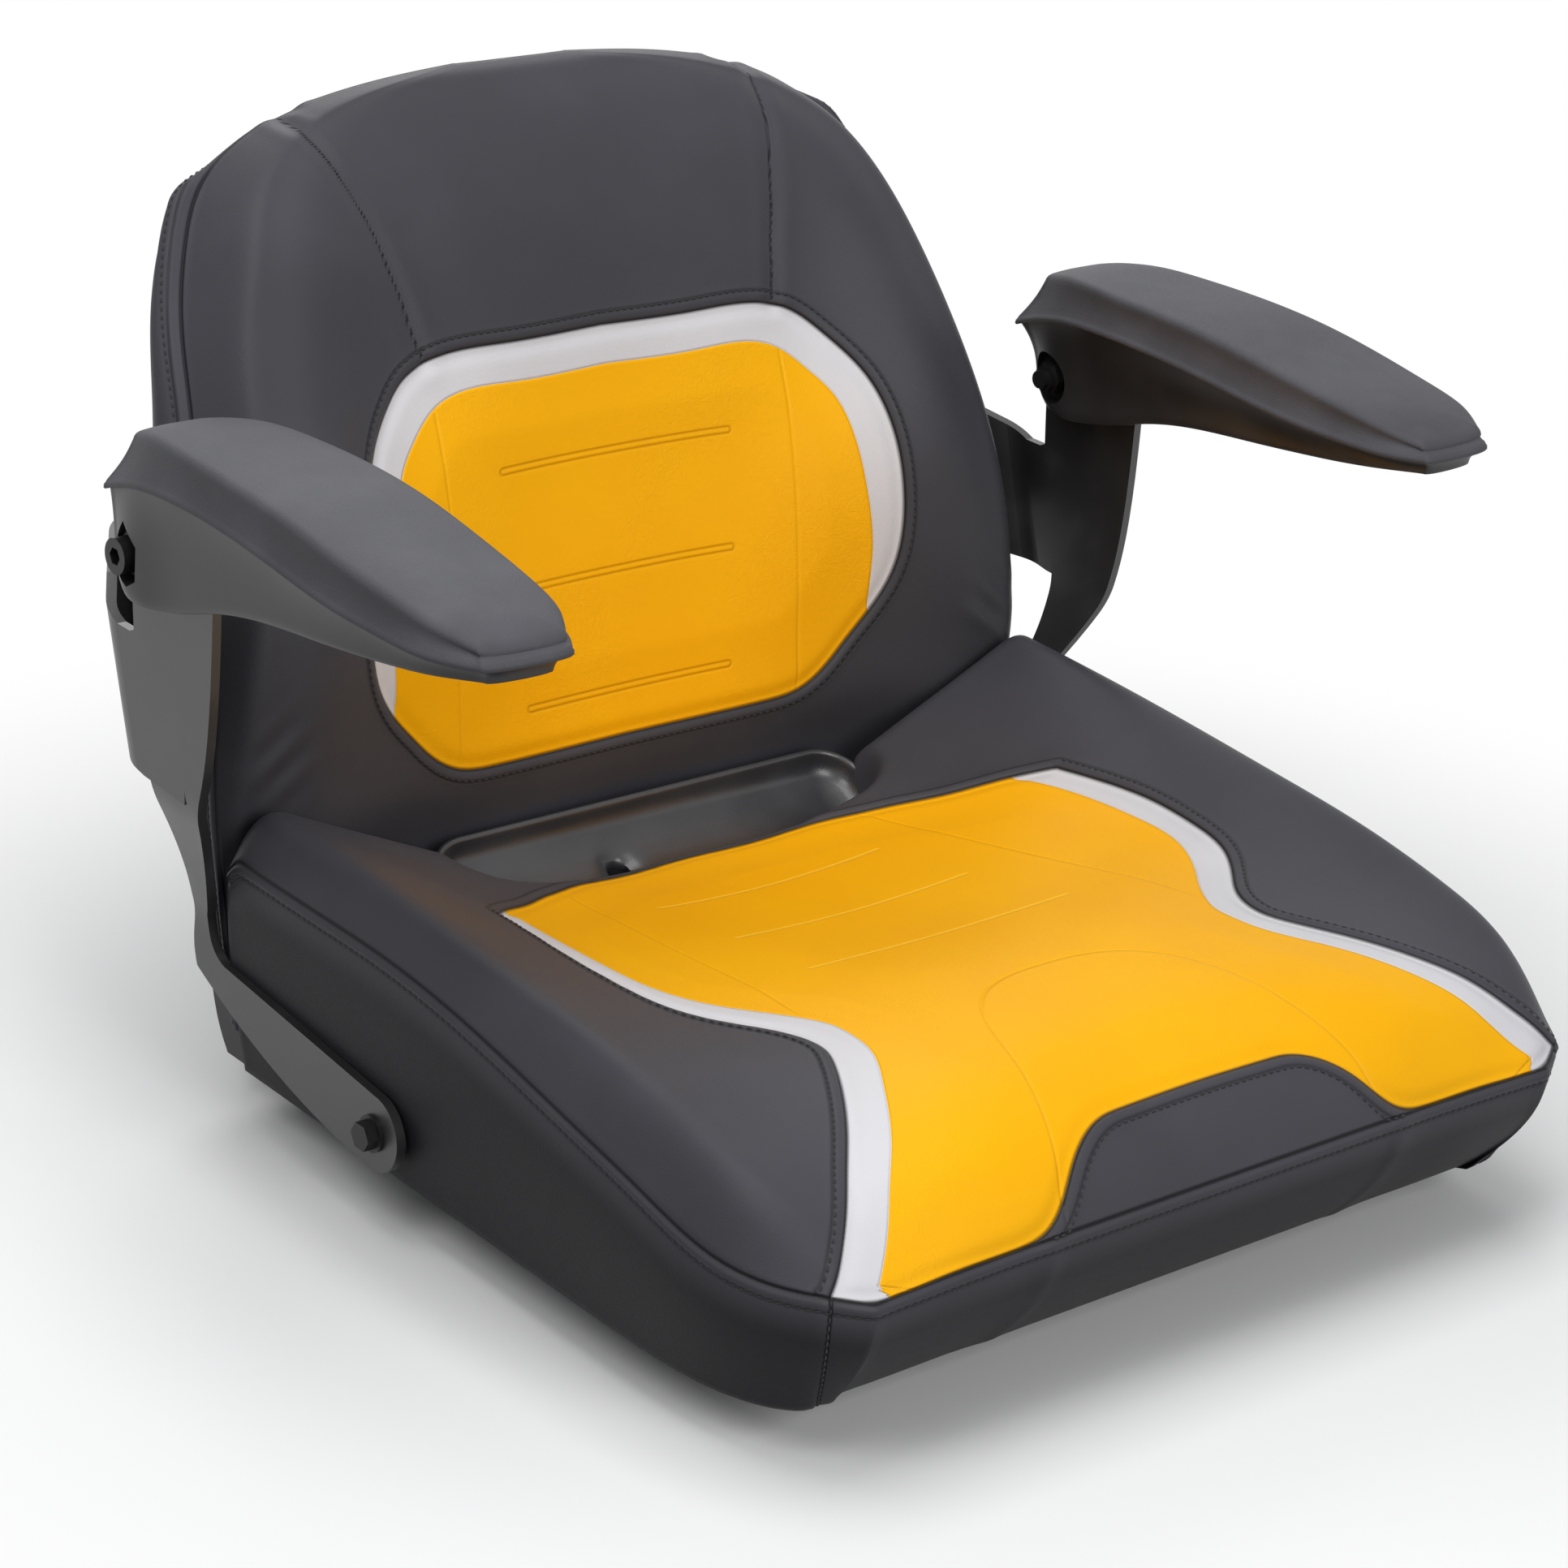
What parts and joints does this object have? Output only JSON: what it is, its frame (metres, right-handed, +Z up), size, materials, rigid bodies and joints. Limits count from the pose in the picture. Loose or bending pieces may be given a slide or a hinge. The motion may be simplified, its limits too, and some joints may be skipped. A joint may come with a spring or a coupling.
{
  "type": "ride-on machine seat",
  "caption": "High-back padded bucket seat with side bolsters, flip-up armrests on wrap-round steel brackets, a drain trough at the hip line and a bolt-on moulded pan.",
  "frame": {"origin": "centre of the four mounting bolts, on the underside of the pan", "axes": "+Z up, -Y is the way the occupant faces, +X is the occupant's left"},
  "size_m": [0.6662, 0.6188, 0.493],
  "materials": {
    "cover_vinyl": "satin grained vinyl",
    "pan_plastic": "textured",
    "tray_plastic": "semi-gloss grained",
    "switch_plastic": "smooth",
    "bracket_paint": "satin powder coat",
    "bolt_black": "black oxide",
    "washer_black": "black oxide",
    "insert_steel": "zinc plated",
    "arm_plastic": "satin",
    "pad_skin": "fine leather grain"
  },
  "bodies": {
    "seat": {"seat_pan": "pan_plastic", "seat_cushion": "cover_vinyl", "back_cushion": "cover_vinyl", "drain_tray": "tray_plastic", "mount_inserts": "insert_steel", "seat_switch": "switch_plastic", "arm_bracket_left": "bracket_paint", "bracket_bolts_left": "bolt_black", "bracket_inserts_left": "insert_steel", "pivot_bolt_left": "bolt_black", "pivot_nut_left": "bolt_black", "pivot_washers_left": "washer_black", "arm_bracket_right": "bracket_paint", "bracket_bolts_right": "bolt_black", "bracket_inserts_right": "insert_steel", "pivot_bolt_right": "bolt_black", "pivot_nut_right": "bolt_black", "pivot_washers_right": "washer_black"},
    "switch_plunger": {"switch_plunger": "switch_plastic"},
    "armrest_left": {"arm_base_left": "arm_plastic", "arm_pad_left": "pad_skin", "pad_screws_left": "bolt_black"},
    "armrest_right": {"arm_base_right": "arm_plastic", "arm_pad_right": "pad_skin", "pad_screws_right": "bolt_black"}
  },
  "joints": [
    {"name": "armrest_left_flip", "type": "hinge", "parent": "seat", "child": "armrest_left", "pos_m": [0.299, 0.195, 0.313], "axis": [-1, 0, 0], "range_deg": [0, 90]},
    {"name": "armrest_right_flip", "type": "hinge", "parent": "seat", "child": "armrest_right", "pos_m": [-0.299, 0.195, 0.313], "axis": [-1, 0, 0], "range_deg": [0, 90]},
    {"name": "switch_press", "type": "slide", "parent": "seat", "child": "switch_plunger", "axis": [0, 0, -1], "range_m": [0, 0.004], "stiffness_N_per_m": 400}
  ]
}
